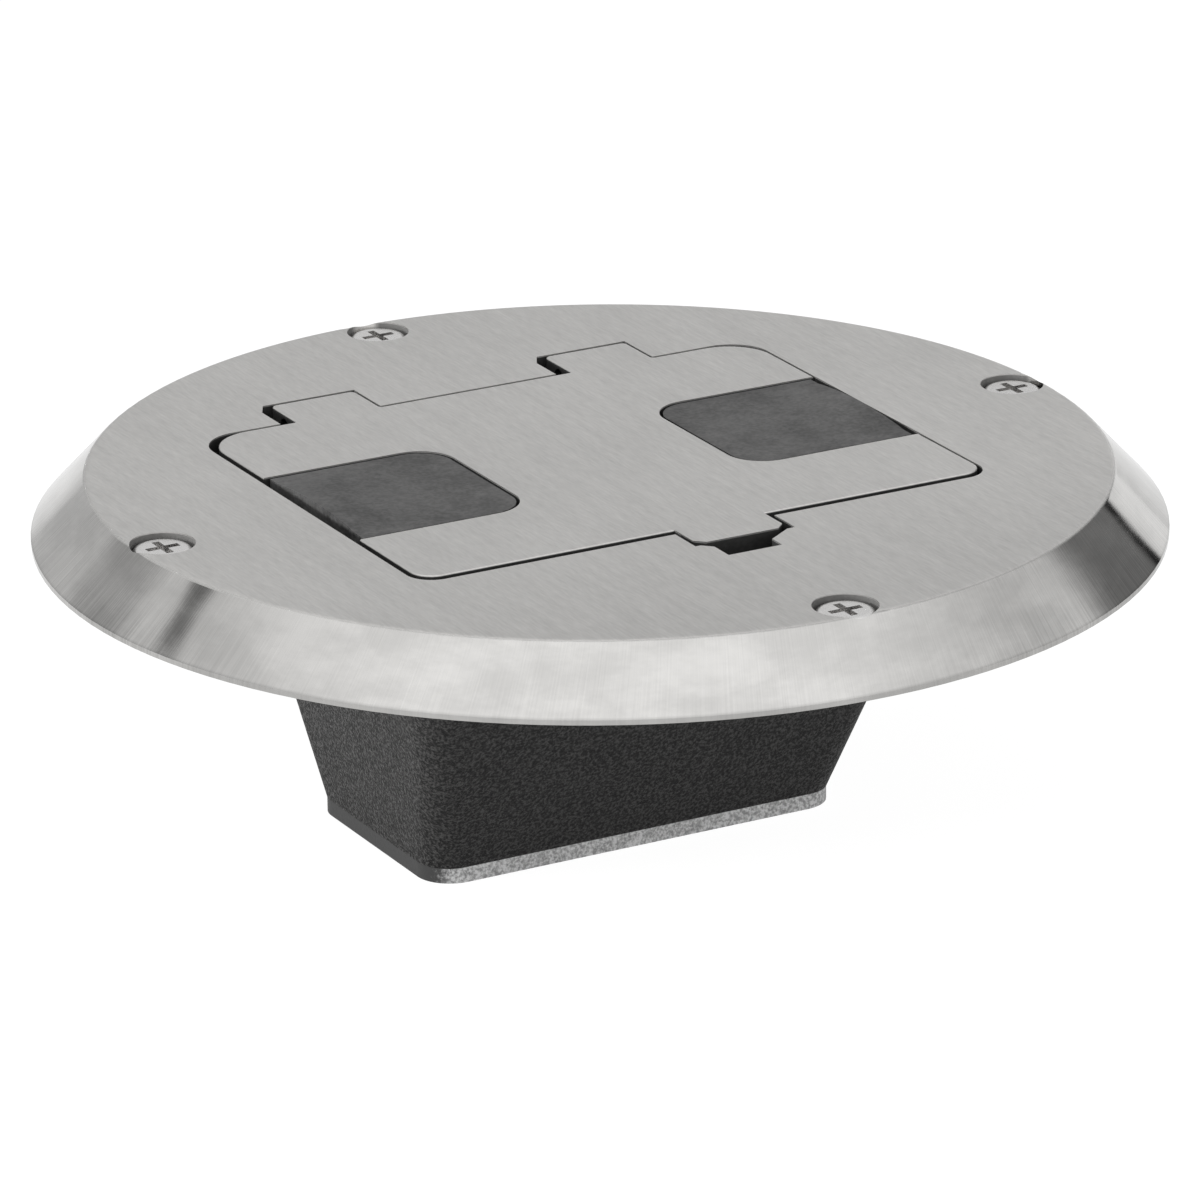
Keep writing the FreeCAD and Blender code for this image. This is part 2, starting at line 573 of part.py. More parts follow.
def cord_flap(side, sign):
    body = new_body(f"{side}_flap")
    leaf = sketch_on(body, "XY_Plane", "leaf", "flap_bottom")
    end = f"{side}_flap_end"
    rectangle(leaf, f"{sign} * flap_inner", f"{sign} * {end}", "exit_centre - flap_half",
              "exit_centre + flap_half")
    pad(body, leaf, "flap_thick")
    corners = [(sign * value("flap_inner"), value("exit_centre") + s * value("flap_half"))
               for s in (-1, 1)]
    soften(body, "exit_radius - flap_gap",
           lambda edge: upright(edge) and at_corner(edge, corners))
    barrel = sketch_on(body, "XZ_Plane", "barrel", "0 - exit_centre - barrel_half")
    circle(barrel, f"{sign} * flap_axis_x", "flap_axis_z", "barrel_radius")
    pad(body, barrel, "2 * barrel_half")
    high = crown_section(body, "crown_high", f"{sign} * {end}", "crown_half", "flap_crown")
    low = crown_section(body, "crown_low", f"{sign} * ({end} - crown_run)", "crown_half",
                        "flap_crown / 40")
    crown = body.newObject("PartDesign::AdditiveLoft", f"{side}_crown")
    crown.Profile = high
    crown.Sections = [low]
    doc.recompute()
    bore = sketch_on(body, "XZ_Plane", "bore", "0 - exit_centre - exit_half")
    circle(bore, f"{sign} * flap_axis_x", "flap_axis_z", "flap_pin_radius + flap_play")
    pocket(body, bore, "2 * exit_half", reverse=True)


# ---------------------------------------------------------------- the housing
def housing():
    body = new_body("housing")
    top = sketch_on(body, "XY_Plane", "top")
    cavity_outline(top, "top_half", "top_front", "top_back", "top_ridge_y", "end_ridge")
    foot = sketch_on(body, "XY_Plane", "foot", "0 - wall_depth")
    cavity_outline(foot, "foot_half", "foot_front", "foot_back", "foot_ridge_y", "0")
    shell = body.newObject("PartDesign::AdditiveLoft", "housing_shell")
    shell.Profile, shell.Sections, shell.Ruled = top, [foot], True
    doc.recompute()
    soften(body, "housing_corner", draft_corner)
    mouth = sketch_on(body, "XY_Plane", "mouth")
    cavity_outline(mouth, "inner_half", "inner_front", "inner_back", "top_ridge_y",
                   "end_ridge")
    floor = sketch_on(body, "XY_Plane", "floor", "0 - wall_depth")
    cavity_outline(floor, "foot_half - housing_wall", "foot_front - housing_wall",
                   "foot_back - housing_wall", "foot_ridge_y", "0")
    cavity = body.newObject("PartDesign::SubtractiveLoft", "housing_cavity")
    cavity.Profile, cavity.Sections, cavity.Ruled = mouth, [floor], True
    doc.recompute()
    inside = value("inner_half") + 0.5
    soften(body, "opening_radius", lambda edge: draft_corner(edge)
           and abs(edge.valueAt(edge.FirstParameter).x) < inside
           and abs(edge.valueAt(edge.LastParameter).x) < inside)

    ears = sketch_on(body, "XY_Plane", "ears")
    for side, sign in SIDES:
        for up in ("0 - ear_tab_front", "ear_tab_back"):
            rectangle(ears, f"{sign} * (inner_half + end_ridge)", f"{sign} * ear_tab_reach",
                      f"{up} - ear_tab_half", f"{up} + ear_tab_half")
    pad(body, ears, "ear_tab_thick", reverse=True)
    holes = sketch_on(body, "XY_Plane", "ear_holes")
    for across, up in EAR_SPOTS:
        circle(holes, across, up, "small_screw_radius + screw_hole_play")
    pocket(body, holes, "ear_tab_thick + 1")

    lugs = sketch_on(body, "XY_Plane", "plate_lugs", "0 - plate_level")
    for across, up in LUG_SPOTS:
        circle(lugs, across, up, "lug_radius")
    pad(body, lugs, "lug_height", reverse=True)
    threads = sketch_on(body, "XY_Plane", "plate_threads", "0 - plate_level")
    for across, up in LUG_SPOTS:
        circle(threads, across, up, "small_screw_radius")
    pocket(body, threads, "lug_height")
    feet = sketch_on(body, "XY_Plane", "foot_lugs", "0 - wall_depth")
    for across, up in FOOT_SPOTS:
        circle(feet, across, up, "foot_lug_radius")
    pad(body, feet, "foot_lug_height")
    threads = sketch_on(body, "XY_Plane", "foot_threads", "0 - wall_depth")
    for across, up in FOOT_SPOTS:
        circle(threads, across, up, "small_screw_radius")
    pocket(body, threads, "foot_lug_height", reverse=True)


def draft_corner(edge):
    """True for an edge down a corner of the housing, but not for the ridge of an end."""
    if len(edge.Vertexes) < 2:
        return False
    one, two = (vertex.Point for vertex in edge.Vertexes)
    middle, turn = (value("top_ridge_y") + value("foot_ridge_y")) / 2, value("housing_corner")
    return abs(one.z - two.z) > 0.9 * value("wall_depth") and abs((one.y + two.y) / 2 - middle) > turn


def base_plate():
    body = new_body("base_plate")
    sheet_metal = sketch_on(body, "XY_Plane", "blank", "0 - housing_depth")
    rectangle(sheet_metal, "0 - foot_half", "foot_half", "0 - foot_front", "foot_back")
    pad(body, sheet_metal, "foot_thick")
    spots = corner_spots("foot_half", "foot_front", "foot_back")
    soften(body, "housing_corner", lambda edge: upright(edge) and at_corner(edge, spots))
    holes = sketch_on(body, "XY_Plane", "holes", "0 - housing_depth")
    circle(holes, "0", "entry_y", "entry_radius")
    for across, up in FOOT_SPOTS:
        circle(holes, across, up, "small_screw_radius")
    circle(holes, "bond_x", "bond_y", "small_screw_radius")
    pocket(body, holes, "foot_thick", reverse=True)
    low, thread = -value("housing_depth"), value("small_screw_radius")
    bond = value("bond_x")
    soften(body, "small_head_radius - small_screw_radius",
           lambda edge: edge.Curve.TypeId == "Part::GeomCircle"
           and abs(edge.Curve.Center.z - low) < 0.01 and abs(edge.Curve.Radius - thread) < 0.01
           and abs(edge.Curve.Center.x - bond) > 0.01, "Chamfer")


# ---------------------------------------------------------------- fasteners
def screws(label, spots, seat, head, height, shank, length, upward=False):
    """Cross-recess pan heads above the seat, or below it where they are driven upward."""
    body = new_body(label)
    heads = sketch_on(body, "XY_Plane", "heads", seat)
    for across, up in spots:
        circle(heads, across, up, head)
    pad(body, heads, height, reverse=upward)
    end = value(f"{seat} - ({height})") if upward else value(f"{seat} + {height}")
    soften(body, f"({height}) * head_round",
           lambda edge: edge.Curve.TypeId == "Part::GeomCircle"
           and abs(edge.Curve.Center.z - end) < 0.01)
    shanks = sketch_on(body, "XY_Plane", "shanks", seat)
    for across, up in spots:
        circle(shanks, across, up, shank)
    pad(body, shanks, length, reverse=not upward)
    level = f"{seat} - ({height})" if upward else f"{seat} + {height}"
    recess = sketch_on(body, "XY_Plane", "recess", level)
    for across, up in spots:
        cross(recess, across, up, f"{head} * driver_reach", f"{head} * driver_slot")
    pocket(body, recess, f"{height} * driver_depth", reverse=upward)
    return body


def foot_screws():
    """Countersunk screws, driven up through the base plate, their heads flush with it."""
    body = new_body("foot_screws")
    heads = sketch_on(body, "XY_Plane", "heads", "0 - housing_depth")
    shanks = sketch_on(body, "XY_Plane", "shanks", "0 - housing_depth")
    recess = sketch_on(body, "XY_Plane", "recess", "0 - housing_depth")
    for across, up in FOOT_SPOTS:
        circle(heads, across, up, "small_head_radius")
        circle(shanks, across, up, "small_screw_radius")
        cross(recess, across, up, "small_head_radius * driver_reach",
              "small_head_radius * driver_slot")
    pad(body, heads, "small_head_radius - small_screw_radius", taper=-45)
    pad(body, shanks, "foot_screw_length")
    pocket(body, recess, "small_head_radius * driver_depth / 2", reverse=True)


def turned(body, axis, angle, across, along, up):
    """Lay a finished body over, and move it to three formulas."""
    body.Placement = Placement(Vector(0, 0, 0), Rotation(axis, angle))
    for name, formula in (("x", across), ("y", along), ("z", up)):
        body.setExpression(f".Placement.Base.{name}", sized(formula))


def all_screws():
    cardinal = [("cover_screw_circle", "0"), ("0", "cover_screw_circle"),
                ("0 - cover_screw_circle", "0"), ("0", "0 - cover_screw_circle")]
    held = screws("cover_screws", cardinal, "cover_height - counterbore_depth",
                  "cover_screw_head", "cover_head_height", "cover_screw_neck",
                  "cover_screw_length")
    ends = sketch_on(held, "XY_Plane", "threaded_ends")
    for across, up in cardinal:
        circle(ends, across, up, "cover_screw_radius")
    pad(held, ends, "cover_screw_length + counterbore_depth - cover_height", reverse=True)
    small = ("small_head_radius", "small_head_height", "small_screw_radius")
    screws("housing_screws", EAR_SPOTS, "0 - ear_tab_thick", *small, "ear_screw_length",
           upward=True)
    screws("plate_screws", LUG_SPOTS, "plate_top", *small, "plate_screw_length")
    screws("centre_screw", [("0", "socket_y")], "plate_top", *small, "centre_screw_length")
    screws("bonding_screw", [("bond_x", "bond_y")], "0 - wall_depth", *small, "bond_length")
    case = [("0", f"socket_y + {sign} * case_screw_y") for _, sign in SIDES]
    screws("case_screws", case, "body_bottom", "small_head_radius", "small_head_height / 2",
           "case_screw_radius", "case_screw_length", upward=True)
    terminal = ("terminal_head", "terminal_head_height", "terminal_shank", "terminal_length")
    pair = both_sides("terminal_x", "0")
    for label, sign in (("line_screws", -1), ("neutral_screws", 1)):
        body = screws(label, pair, "0", *terminal)
        turned(body, Vector(1, 0, 0), -90 * sign, "0",
               f"socket_y + {sign} * (recess_y + leaf)", "terminal_z")
    body = screws("ground_screw", [("0", "0")], "0", *terminal)
    turned(body, Vector(0, 1, 0), -90, "0 - body_half - strap_play - strap_thick", "socket_y",
           "terminal_z")


# ---------------------------------------------------------------- the receptacle
def outlet_outline(sketch, across, up, radius, flat):
    """A circle with two flats across the receptacle's length, the shape of a duplex face."""
    middle = Vector(value(across), value(up), 0)
    size, half = value(radius), value(flat)
    rise = (size ** 2 - half ** 2) ** 0.5
    ends = [middle + Vector(a * half, b * rise, 0) for a, b in ((1, 1), (-1, 1), (-1, -1), (1, -1))]
    tops = [middle + Vector(0, b * size, 0) for b in (1, -1)]
    high = sketch.addGeometry(Part.Arc(ends[0], tops[0], ends[1]))
    left = sketch.addGeometry(Part.LineSegment(ends[1], ends[2]))
    low = sketch.addGeometry(Part.Arc(ends[2], tops[1], ends[3]))
    right = sketch.addGeometry(Part.LineSegment(ends[3], ends[0]))
    for one, two in ((high, left), (left, low), (low, right), (right, high)):
        sketch.addConstraint(Sketcher.Constraint("Coincident", one, 2, two, 1))
    for arc in (high, low):
        place(sketch, arc, 3, across, up)
        number = sketch.addConstraint(Sketcher.Constraint("Radius", arc, size))
        sketch.setExpression(f"Constraints[{number}]", sized(radius))
    for line, sign in ((left, -1), (right, 1)):
        sketch.addConstraint(Sketcher.Constraint("Vertical", line))
        number = sketch.addConstraint(Sketcher.Constraint(
            "DistanceX", -1, 1, line, 1, value(f"{across} + {sign} * ({flat})")))
        sketch.setExpression(f"Constraints[{number}]", sized(f"{across} + {sign} * ({flat})"))


def block(body, name, bottom, height, left, right, low, high):
    """A box of material, added to the body; its width is measured from the socket's middle."""
    sketch = sketch_on(body, "XY_Plane", name, bottom)
    rectangle(sketch, left, right, f"socket_y + {low}", f"socket_y + {high}")
    return pad(body, sketch, height)


def void(body, name, top, depth, boxes):
    """Boxes cut down from a level, each left, right, low and high from the socket's middle."""
    sketch = sketch_on(body, "XY_Plane", name, top)
    for left, right, low, high in boxes:
        rectangle(sketch, left, right, f"socket_y + {low}", f"socket_y + {high}")
    return pocket(body, sketch, depth)


def device_plate():
    body = new_body("device_plate")
    blank = sketch_on(body, "XY_Plane", "blank", "0 - plate_level")
    rectangle(blank, "0 - plate_half", "plate_half", "0 - plate_front", "plate_back")
    pad(body, blank, "plate_sheet")
    spots = corner_spots("plate_half", "plate_front", "plate_back")
    soften(body, "plate_corner", lambda edge: upright(edge) and at_corner(edge, spots))
    holes = sketch_on(body, "XY_Plane", "holes", "0 - plate_level")
    for _, sign in SIDES:
        outlet_outline(holes, f"{sign} * outlet_x", "socket_y", "face_radius + face_gap",
                       "face_flat + face_gap")
    for across, up in LUG_SPOTS + [("0", "socket_y")]:
        circle(holes, across, up, "small_screw_radius + screw_hole_play")
    pocket(body, holes, "plate_sheet", reverse=True)


def receptacle_strap():
    body = new_body("receptacle_strap")
    block(body, "strip", "strap_bottom", "strap_thick", "0 - strap_end", "strap_reach",
          "-1 * strap_half_width", "strap_half_width")
    block(body, "ear", "ground_bottom", "strap_bottom + strap_thick - (ground_bottom)",
          "0 - strap_end", "strap_thick - strap_end", "-1 * strap_ear_half", "strap_ear_half")
    windows = []
    for _, sign in SIDES:
        middle = f"{sign} * outlet_x - core_shift"
        windows.append((f"{middle} - core_half - core_gap", f"{middle} + core_half + core_gap",
                        "-1 * (core_width + core_gap)", "core_width + core_gap"))
    void(body, "windows", "0 - plate_level", "strap_thick", windows)
    thread = sketch_on(body, "XY_Plane", "thread", "0 - plate_level")
    circle(thread, "0", "socket_y", "small_screw_radius")
    pocket(body, thread, "strap_thick")
    tapped = sketch_on(body, "YZ_Plane", "tapped", "0 - strap_end")
    circle(tapped, "socket_y", "terminal_z", "terminal_shank")
    pocket(body, tapped, "strap_thick", reverse=True)


def receptacle_face():
    body = new_body("receptacle_face")
    block(body, "slab", "slab_bottom", "slab_thick", "0 - body_half", "body_half",
          "-1 * slab_half_width", "slab_half_width")
    side, front = value("body_half"), value("socket_y - slab_half_width")
    spots = [(s * side, y) for s in (-1, 1) for y in (front, value("socket_y + slab_half_width"))]
    soften(body, "body_corner", lambda edge: upright(edge) and at_corner(edge, spots))
    for label, sign in SIDES:
        middle = f"{sign} * outlet_x - core_shift"
        block(body, f"{label}_core", "strap_bottom", "strap_thick", f"{middle} - core_half",
              f"{middle} + core_half", "-1 * core_width", "core_width")
        island = sketch_on(body, "XY_Plane", f"{label}_island", "0 - plate_level")
        outlet_outline(island, f"{sign} * outlet_x", "socket_y", "face_radius", "face_flat")
        pad(body, island, "plate_sheet + face_proud")
    deep = "plate_sheet + face_proud + strap_thick + slab_thick"
    for label, sign in SIDES:
        blades, pin = f"{sign} * outlet_x + blade_shift", f"{sign} * outlet_x - pin_shift"
        half = "blade_slot / 2"
        void(body, f"{label}_blade_slots", "face_top", deep, [
            (f"{blades} - neutral_slot / 2", f"{blades} + neutral_slot / 2",
             f"blade_pitch / 2 - {half}", f"blade_pitch / 2 + {half}"),
            (f"{blades} - live_slot / 2", f"{blades} + live_slot / 2",
             f"-1 * blade_pitch / 2 - {half}", f"-1 * blade_pitch / 2 + {half}")])
        void(body, f"{label}_pin_square", "face_top", deep, [
            (f"{pin} - pin_slot / 2", pin, "-1 * pin_slot / 2", "pin_slot / 2")])
        bore = sketch_on(body, "XY_Plane", f"{label}_pin_round", "face_top")
        circle(bore, pin, "socket_y", "pin_slot / 2")
        pocket(body, bore, deep)
    middle = sketch_on(body, "XY_Plane", "screw_way", "strap_bottom")
    circle(middle, "0", "socket_y", "small_screw_radius + screw_hole_play")
    for _, sign in SIDES:
        circle(middle, "0", f"socket_y + {sign} * case_screw_y", "case_screw_radius")
    pocket(body, middle, "slab_thick")


def receptacle_body():
    body = new_body("receptacle_body")
    block(body, "shell", "body_bottom", "body_depth", "0 - body_half", "body_half",
          "-1 * body_half_width", "body_half_width")
    side, front = value("body_half"), value("socket_y - body_half_width")
    spots = [(s * side, y) for s in (-1, 1) for y in (front, value("socket_y + body_half_width"))]
    soften(body, "body_corner", lambda edge: upright(edge) and at_corner(edge, spots))
    for label, sign in SIDES:
        def span(one, two):
            return (one, two) if sign > 0 else (f"-1 * ({two})", f"-1 * ({one})")
        cells, exits, recesses = [], [], []
        for _, end in SIDES:
            middle = f"{end} * outlet_x + blade_shift"
            cells.append((f"{middle} - contact_len / 2 - contact_play",
                          f"{middle} + contact_len / 2 + contact_play",
                          *span("inner_leaf - contact_play", "bus_out + contact_play")))
            tab = f"{end} * terminal_x"
            exits.append((f"{tab} - terminal_half - contact_play",
                          f"{tab} + terminal_half + contact_play",
                          *span("bus_out", "recess_y")))
            recesses.append((f"{tab} - terminal_head - contact_play * 4",
                             f"{tab} + terminal_head + contact_play * 4",
                             *span("recess_y", "body_half_width + 1")))
        void(body, f"{label}_cells", "slab_bottom", "contact_depth + contact_play", cells)
        bus = [(f"-1 * outlet_x + blade_shift - contact_len / 2 - contact_play",
                f"outlet_x + blade_shift + contact_len / 2 + contact_play",
                *span("bus_in - contact_play", "bus_out + contact_play"))]
        void(body, f"{label}_bus", "slab_bottom", "contact_depth + contact_play", bus)
        void(body, f"{label}_exits", "slab_bottom", "contact_depth + contact_play", exits)
        void(body, f"{label}_recesses", "slab_bottom", "contact_depth + contact_play", recesses)
    void(body, "ground_trough", "slab_bottom", "ground_depth + contact_play", [
        ("0 - body_half - 1", "clip_end + contact_play", "-1 * (clip_out + contact_play)",
         "clip_out + contact_play")])
    holes = sketch_on(body, "XY_Plane", "case_holes", "slab_bottom")
    for _, sign in SIDES:
        circle(holes, "0", f"socket_y + {sign} * case_screw_y", "case_screw_radius")
    pocket(body, holes, "body_depth")


def blade_contacts(label, sign):
    """One brass piece for both outlets: two sprung leaves each, a bus and two terminals."""
    def span(one, two):
        return (one, two) if sign > 0 else (f"-1 * ({two})", f"-1 * ({one})")
    body = new_body(label)
    tall = "contact_depth - contact_play"
    block(body, "bus", "contact_bottom", tall, "-1 * outlet_x + blade_shift - contact_len / 2",
          "outlet_x + blade_shift + contact_len / 2", *span("bus_in", "bus_out"))
    for side, end in SIDES:
        middle = f"{end} * outlet_x + blade_shift"
        ends = (f"{middle} - contact_len / 2", f"{middle} + contact_len / 2")
        block(body, f"{side}_web", "contact_bottom", "leaf", *ends,
              *span("inner_leaf", "bus_out"))
        block(body, f"{side}_leaf", "contact_bottom", tall, *ends,
              *span("inner_leaf", "inner_leaf + leaf"))
        tab = (f"{end} * terminal_x - terminal_half", f"{end} * terminal_x + terminal_half")
        block(body, f"{side}_tab", "contact_bottom", "leaf", *tab,
              *span("bus_in", "recess_y + leaf"))
        block(body, f"{side}_terminal", "contact_bottom",
              "terminal_z + terminal_half - contact_bottom", *tab,
              *span("recess_y", "recess_y + leaf"))
    tapped = sketch_on(body, "XZ_Plane", "tapped", f"-1 * (socket_y + {sign} * recess_y)")
    for across, up in both_sides("terminal_x", "terminal_z"):
        circle(tapped, across, up, "terminal_shank")
    pocket(body, tapped, "leaf", reverse=sign < 0)


def ground_contacts():
    body = new_body("ground_contacts")
    block(body, "bus", "ground_bottom", "leaf", "0 - body_half - strap_play", "clip_end",
          "-1 * clip_out", "clip_out")
    for side, end in SIDES:
        middle = f"{end} * outlet_x - pin_shift"
        for name, sign in (("near", -1), ("far", 1)):
            low, high = "clip_gap / 2", "clip_out"
            walls = (low, high) if sign > 0 else (f"-1 * ({high})", f"-1 * ({low})")
            block(body, f"{side}_{name}", "ground_bottom", "ground_depth - contact_play",
                  f"{middle} - clip_len / 2", f"{middle} + clip_len / 2", *walls)


# ---------------------------------------------------------------- the assembly
cover_flange()
floor_gasket()
lid_seal()
cover_lid()
hinge_pins()
for flap_side, flap_sign in SIDES:
    cord_flap(flap_side, flap_sign)
flap_pins()
housing()
base_plate()
foot_screws()
all_screws()
device_plate()
receptacle_strap()
receptacle_face()
receptacle_body()
blade_contacts("line_contacts", -1)
blade_contacts("neutral_contacts", 1)
ground_contacts()
doc.recompute()

failed = [item.Label for item in doc.Objects if {"Invalid", "Error"} & set(item.State)]
if failed:
    raise RuntimeError(f"these features failed: {failed}")
pieces = [item for item in doc.Objects if item.TypeId == "PartDesign::Body"]
for piece in pieces:
    if piece.Shape.isNull() or not piece.Shape.isValid():
        raise RuntimeError(f"{piece.Label} has no valid shape")
for piece in pieces:
    piece.Shape.exportStep(f"parts/{piece.Label}.step")
    print(f"{piece.Label}: {len(piece.Shape.Solids)} solids, {piece.Shape.Volume:.1f} mm3")
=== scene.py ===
"""Floor socket box: the finishes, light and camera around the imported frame, in metres."""
import math

import bpy
from mathutils import Matrix, Vector


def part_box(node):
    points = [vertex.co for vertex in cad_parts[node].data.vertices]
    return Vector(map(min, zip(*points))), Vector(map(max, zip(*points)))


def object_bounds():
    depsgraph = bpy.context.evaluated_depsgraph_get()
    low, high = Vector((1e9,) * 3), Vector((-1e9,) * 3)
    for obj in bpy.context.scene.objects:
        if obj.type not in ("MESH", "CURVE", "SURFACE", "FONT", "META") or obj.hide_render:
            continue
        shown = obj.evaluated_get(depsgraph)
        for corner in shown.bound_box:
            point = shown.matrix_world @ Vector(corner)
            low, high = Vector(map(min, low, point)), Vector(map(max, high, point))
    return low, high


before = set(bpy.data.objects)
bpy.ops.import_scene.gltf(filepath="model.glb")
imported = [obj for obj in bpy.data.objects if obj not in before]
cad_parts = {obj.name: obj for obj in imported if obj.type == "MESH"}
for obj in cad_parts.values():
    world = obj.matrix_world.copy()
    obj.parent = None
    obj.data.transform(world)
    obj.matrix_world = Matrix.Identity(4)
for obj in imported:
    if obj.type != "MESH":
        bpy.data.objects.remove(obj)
cad_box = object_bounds()

MM = 0.001
FOOT = cad_box[0][2]         # the height of the foot's underside
COVER_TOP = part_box("cover_flange")[1].z
LID_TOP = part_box("cover_lid")[1].z
FOOT_LEFT_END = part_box("base_plate")[0].x
FLAT_RADIUS = 83 * MM        # of the cover's flat face, inside its sloping rim
SCREW_CIRCLE = 78.2 * MM     # radius of the circle that the cover screws stand on


# ---------------------------------------------------------------- camera

AZIMUTH = math.radians(-28.609)      # from the front towards the right
ELEVATION = math.radians(19.47)
ROLL = math.radians(-0.539)
DISTANCE = 1.23175
AIM_BELOW = 0.01265                  # the view's centre, below the cover's middle
SENSOR_WIDTH = 36                    # in millimetres, as the focal length is
FOCAL_LENGTH = 228.13


def direction(azimuth, elevation):
    """A unit vector, by radians: its azimuth from the front towards the right, its elevation up."""
    return Vector((math.sin(azimuth) * math.cos(elevation),
                   -math.cos(azimuth) * math.cos(elevation), math.sin(elevation)))


def stand_camera():
    """Stands the camera above the front left of the cover, looking just under its middle."""
    back = direction(AZIMUTH, ELEVATION)
    position = back * DISTANCE
    level_right = (-back).cross(Vector((0, 0, 1))).normalized()
    level_up = level_right.cross(-back)
    right = math.cos(ROLL) * level_right + math.sin(ROLL) * level_up
    up = math.cos(ROLL) * level_up - math.sin(ROLL) * level_right
    back = (position + up * AIM_BELOW).normalized()
    up = back.cross(right).normalized()
    right = up.cross(back)
    lens = bpy.data.cameras.new("camera")
    lens.lens, lens.sensor_width = FOCAL_LENGTH, SENSOR_WIDTH
    camera = bpy.data.objects.new("camera", lens)
    bpy.context.collection.objects.link(camera)
    turned = Matrix((right, up, back)).transposed().to_4x4()
    camera.matrix_world = Matrix.Translation(position) @ turned
    bpy.context.scene.camera = camera


stand_camera()
bpy.context.scene.view_settings.view_transform = "Standard"


# ---------------------------------------------------------------- shader maths

class Wire:
    """One node's output. Sums written on it add Math nodes."""

    def __init__(self, tree, socket):
        self.tree, self.socket = tree, socket

    def maths(self, operation, *terms):
        """A Math node on these terms, which may be wires or numbers."""
        return self.tree.node("Math", {"operation": operation}, dict(enumerate(terms)))

    def __add__(self, other):
        return self.maths("ADD", self, other)

    def __sub__(self, other):
        return self.maths("SUBTRACT", self, other)

    def __rsub__(self, other):
        return self.maths("SUBTRACT", other, self)

    def __mul__(self, other):
        return self.maths("MULTIPLY", self, other)

    def __pow__(self, other):
        return self.maths("POWER", self, other)

    __radd__, __rmul__ = __add__, __mul__

    def size(self):
        """The value without its sign."""
        return self.maths("ABSOLUTE", self)

    def step(self, low, high):
        """0 up to low and 1 from high, with a smooth slope between; high may be the lower one."""
        if high < low:
            return 1 - self.step(high, low)
        return self.tree.node("MapRange", {"interpolation_type": "SMOOTHSTEP"},
                              {"Value": self, "From Min": low, "From Max": high})


class Tree:
    """A material's or the world's nodes."""

    def __init__(self, owner):
        owner.use_nodes = True
        self.nodes, self.links = owner.node_tree.nodes, owner.node_tree.links

    def feed(self, socket, value):
        """Leads a wire to the socket, or sets its fixed value."""
        if isinstance(value, Wire):
            self.links.new(value.socket, socket)
        else:
            socket.default_value = value

    def node(self, kind, settings=None, inputs=None, output=0):
        """Adds a node: its settings first, then the values or wires of its sockets."""
        made = self.nodes.new("ShaderNode" + kind)
        for name, setting in (settings or {}).items():
            setattr(made, name, setting)
        for name, value in (inputs or {}).items():
            self.feed(made.inputs[name], value)
        return Wire(self, made.outputs[output])

    def mix(self, amount, first, second):
        """A colour: first at 0 and second at 1."""
        sockets = {0: amount, 6: first, 7: second}
        return self.node("Mix", {"data_type": "RGBA"}, sockets, 2)


def blend(first, second, amount):
    """first at 0 and second at 1, where amount is a wire and the others may be numbers."""
    return first + amount * (second - first)


def grey(level, warmth=0.0):
    """An opaque grey, with a little more red than blue where warmth is over 0."""
    return (level * (1 + warmth), level, level * (1 - warmth), 1)


class Finish(Tree):
    """A named material on Object coordinates."""

    def __init__(self, name, **fixed):
        """fixed: the shader's inputs that have one value all over."""
        self.material = bpy.data.materials.new(name)
        super().__init__(self.material)
        self.shader = self.nodes["Principled BSDF"]
        for socket, value in fixed.items():
            self.shader.inputs[socket.replace("_", " ")].default_value = value
        self.place = self.node("TexCoord", output="Object")
        self.x, self.y, self.z = (
            self.node("SeparateXYZ", inputs={0: self.place}, output=axis) for axis in "XYZ")

    def set(self, **wires):
        """Wires up the shader's inputs that vary."""
        for socket, wire in wires.items():
            self.feed(self.shader.inputs[socket.replace("_", " ")], wire)

    def turned(self, stretch, turn=(0, 0, 0)):
        """The place, turned by degrees and then stretched."""
        rotated = self.node("Mapping", inputs={"Vector": self.place,
                                               "Rotation": [math.radians(angle) for angle in turn]})
        return self.node("Mapping", inputs={"Vector": rotated, "Scale": stretch})

    def noise(self, scale, detail=2.0, rough=0.5, place=None):
        """Cloudy noise from 0 to 1, with about scale cells along a unit of its place."""
        return self.node("TexNoise", inputs={"Vector": place or self.place, "Scale": scale,
                                             "Detail": detail, "Roughness": rough})

    def streaks(self, across, along):
        """Noise drawn out along Y: about so many cells in a metre across it and along it."""
        return self.noise(1, 2, 0.55, self.turned((across, along, across)))

    def bump(self, height, depth, strength=1.0):
        """The normal of a surface with this height, in metres at 1."""
        return self.node("Bump", inputs={"Height": height, "Distance": depth, "Strength": strength})


# ---------------------------------------------------------------- finishes

PLATING_STARTS, PLATING_FULL = 0.30 * MM, 0.08 * MM      # below a piece's top face; the walls under it are dark, partly as painted shade
RIM_BLEND = 0.3 * MM                                     # each side of the flat face's edge
FRONT_SHADE_FROM, FRONT_SHADE_TO = -30 * MM, -80 * MM                  # towards the front: painted shade darkening the brushed top
SCUFFED_FROM, SCUFFED_TO = 45 * MM, 80 * MM              # from the middle towards the view's sides
EDGE_SHADE_FROM, EDGE_SHADE_TO = 1.2 * MM, 0.7 * MM        # above the floor's surface: painted shade along the rim's lowest edge
THIN_PLATING_FROM, THIN_PLATING_TO = SCREW_CIRCLE - 8 * MM, SCREW_CIRCLE - 7 * MM
# Where the foot plate's left end is darkened as painted shade.
END_SHADE_FROM, END_SHADE_TO = FOOT_LEFT_END + 6 * MM, FOOT_LEFT_END + 2.5 * MM


def brushed(finish):
    """Fine straight brush lines along Y: their height, 0 to 1."""
    fine, coarse = finish.streaks(2600, 330), finish.streaks(900, 70)
    return fine * 0.6 + coarse * 0.4


